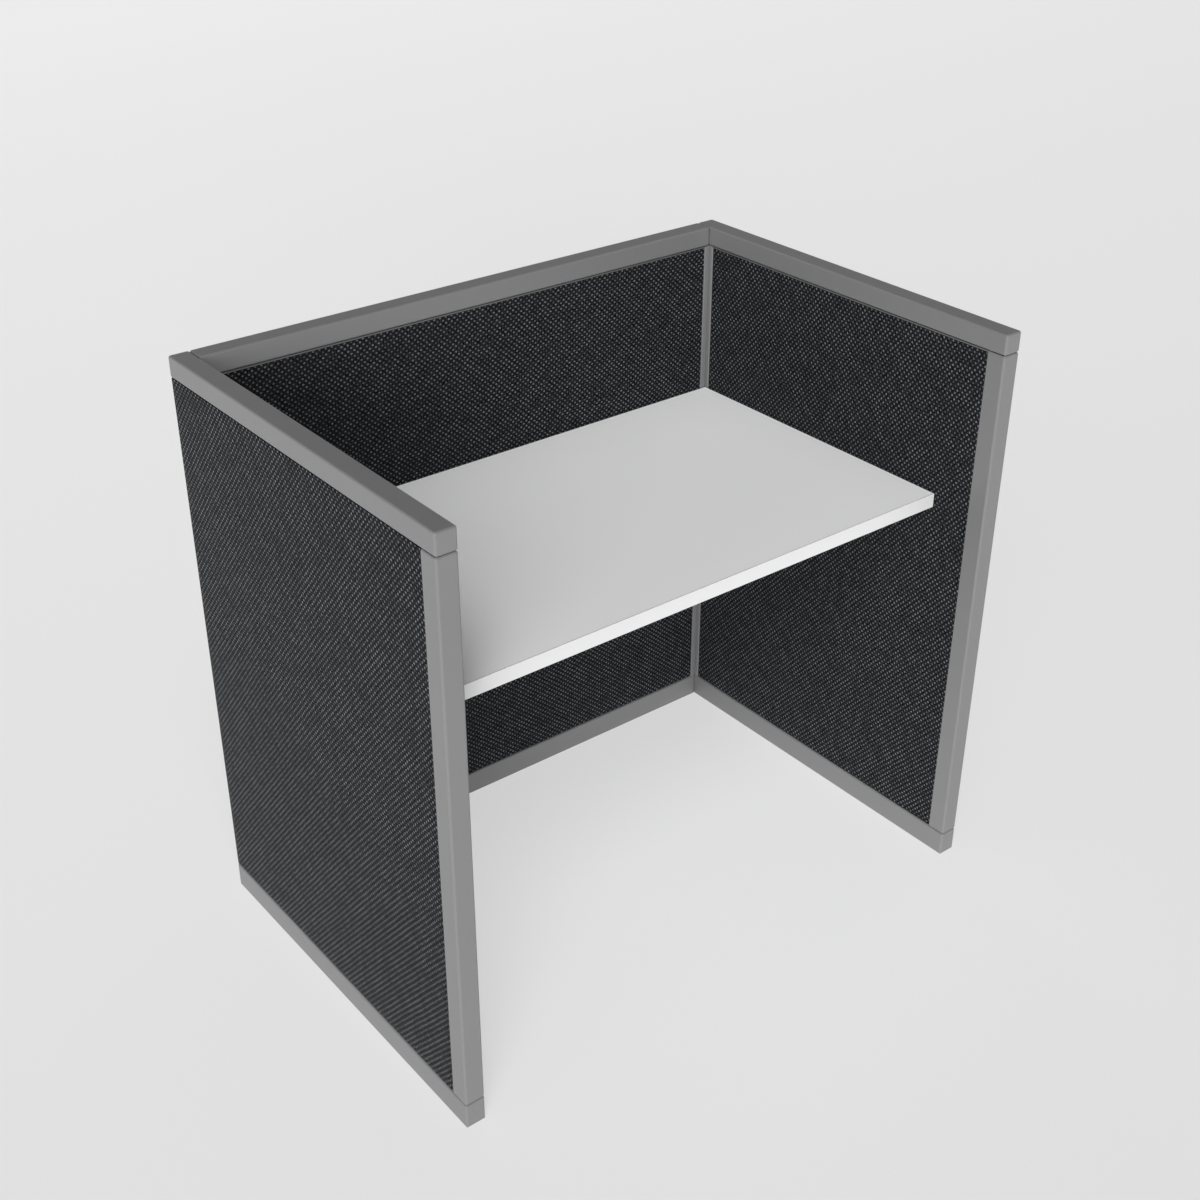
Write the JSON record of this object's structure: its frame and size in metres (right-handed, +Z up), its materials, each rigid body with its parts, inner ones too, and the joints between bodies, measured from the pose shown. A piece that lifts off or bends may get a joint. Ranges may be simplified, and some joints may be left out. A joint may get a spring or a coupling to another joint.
{
  "type": "cubicle workstation",
  "caption": "Open-fronted cubicle workstation: dark fabric panels on two sides and the back, in grey trim, with a fixed white worktop between them and screw feet in the base rails.",
  "frame": {"origin": "on the floor, below the middle of the overall bounding box", "axes": "+X to the right as seen from the open front, +Y to the back panel, +Z up"},
  "size_m": [1.144, 0.762, 1.067],
  "materials": {
    "grey_trim": "smooth satin powder coat",
    "dark_fabric": "woven, matt, near black with small grey flecks",
    "tackable_board": "raw fibreboard",
    "honeycomb_core": "raw paper honeycomb, modelled as a slab",
    "particle_board": "raw particle board",
    "white_laminate": "smooth satin laminate",
    "frame_steel": "dark powder coat",
    "zinc_steel": "bright zinc plate",
    "foot_plastic": "matt moulded nylon"
  },
  "bodies": {
    "workstation": {"left_top_cap": "grey_trim", "right_top_cap": "grey_trim", "back_top_cap": "grey_trim", "left_base_rail": "grey_trim", "right_base_rail": "grey_trim", "back_base_rail": "grey_trim", "left_end_post": "grey_trim", "right_end_post": "grey_trim", "left_corner_trim": "grey_trim", "right_corner_trim": "grey_trim", "left_rear_strip": "grey_trim", "right_rear_strip": "grey_trim", "tile_strips": "grey_trim", "left_frame_stiles": "frame_steel", "right_frame_stiles": "frame_steel", "back_frame_stiles": "frame_steel", "left_frame_rails": "frame_steel", "right_frame_rails": "frame_steel", "back_frame_rails": "frame_steel", "left_core": "honeycomb_core", "right_core": "honeycomb_core", "back_core": "honeycomb_core", "left_inner_board": "tackable_board", "left_outer_board": "tackable_board", "right_inner_board": "tackable_board", "right_outer_board": "tackable_board", "back_inner_board": "tackable_board", "back_outer_board": "tackable_board", "left_inner_fabric": "dark_fabric", "left_outer_fabric": "dark_fabric", "right_inner_fabric": "dark_fabric", "right_outer_fabric": "dark_fabric", "back_inner_fabric": "dark_fabric", "back_outer_fabric": "dark_fabric", "worktop_core": "particle_board", "worktop_laminate": "white_laminate", "worktop_backer": "white_laminate", "worktop_edge_bands": "white_laminate", "left_worktop_angle": "frame_steel", "right_worktop_angle": "frame_steel", "rear_worktop_angle": "frame_steel", "angle_panel_screws": "zinc_steel", "worktop_screws": "zinc_steel", "corner_bolts": "zinc_steel", "corner_nuts": "zinc_steel", "base_rail_screws": "zinc_steel", "foot_nut_plates": "frame_steel"},
    "left_front_pad": {"left_front_foot_pad": "foot_plastic"},
    "left_front_stem": {"left_front_foot_stem": "zinc_steel"},
    "left_rear_pad": {"left_rear_foot_pad": "foot_plastic"},
    "left_rear_stem": {"left_rear_foot_stem": "zinc_steel"},
    "right_front_pad": {"right_front_foot_pad": "foot_plastic"},
    "right_front_stem": {"right_front_foot_stem": "zinc_steel"},
    "right_rear_pad": {"right_rear_foot_pad": "foot_plastic"},
    "right_rear_stem": {"right_rear_foot_stem": "zinc_steel"},
    "back_left_pad": {"back_left_foot_pad": "foot_plastic"},
    "back_left_stem": {"back_left_foot_stem": "zinc_steel"},
    "back_right_pad": {"back_right_foot_pad": "foot_plastic"},
    "back_right_stem": {"back_right_foot_stem": "zinc_steel"}
  },
  "joints": [
    {"name": "left_front_foot_slide", "type": "slide", "parent": "workstation", "child": "left_front_pad", "axis": [0, 0, -1], "range_m": [0, 0.02]},
    {"name": "left_front_foot_turn", "type": "hinge", "parent": "left_front_pad", "child": "left_front_stem", "pos_m": [-0.554, -0.354, 0.02], "axis": [0, 0, -1], "range_deg": [0, 5760]},
    {"name": "left_rear_foot_slide", "type": "slide", "parent": "workstation", "child": "left_rear_pad", "axis": [0, 0, -1], "range_m": [0, 0.02]},
    {"name": "left_rear_foot_turn", "type": "hinge", "parent": "left_rear_pad", "child": "left_rear_stem", "pos_m": [-0.554, 0.354, 0.02], "axis": [0, 0, -1], "range_deg": [0, 5760]},
    {"name": "right_front_foot_slide", "type": "slide", "parent": "workstation", "child": "right_front_pad", "axis": [0, 0, -1], "range_m": [0, 0.02]},
    {"name": "right_front_foot_turn", "type": "hinge", "parent": "right_front_pad", "child": "right_front_stem", "pos_m": [0.554, -0.354, 0.02], "axis": [0, 0, -1], "range_deg": [0, 5760]},
    {"name": "right_rear_foot_slide", "type": "slide", "parent": "workstation", "child": "right_rear_pad", "axis": [0, 0, -1], "range_m": [0, 0.02]},
    {"name": "right_rear_foot_turn", "type": "hinge", "parent": "right_rear_pad", "child": "right_rear_stem", "pos_m": [0.554, 0.354, 0.02], "axis": [0, 0, -1], "range_deg": [0, 5760]},
    {"name": "back_left_foot_slide", "type": "slide", "parent": "workstation", "child": "back_left_pad", "axis": [0, 0, -1], "range_m": [0, 0.02]},
    {"name": "back_left_foot_turn", "type": "hinge", "parent": "back_left_pad", "child": "back_left_stem", "pos_m": [-0.511, 0.363, 0.02], "axis": [0, 0, -1], "range_deg": [0, 5760]},
    {"name": "back_right_foot_slide", "type": "slide", "parent": "workstation", "child": "back_right_pad", "axis": [0, 0, -1], "range_m": [0, 0.02]},
    {"name": "back_right_foot_turn", "type": "hinge", "parent": "back_right_pad", "child": "back_right_stem", "pos_m": [0.511, 0.363, 0.02], "axis": [0, 0, -1], "range_deg": [0, 5760]}
  ],
  "couplings": [
    {"joint": "left_front_foot_turn", "follows": "left_front_foot_slide", "rad_per_m": 5026.5},
    {"joint": "left_rear_foot_turn", "follows": "left_rear_foot_slide", "rad_per_m": 5026.5},
    {"joint": "right_front_foot_turn", "follows": "right_front_foot_slide", "rad_per_m": 5026.5},
    {"joint": "right_rear_foot_turn", "follows": "right_rear_foot_slide", "rad_per_m": 5026.5},
    {"joint": "back_left_foot_turn", "follows": "back_left_foot_slide", "rad_per_m": 5026.5},
    {"joint": "back_right_foot_turn", "follows": "back_right_foot_slide", "rad_per_m": 5026.5}
  ]
}
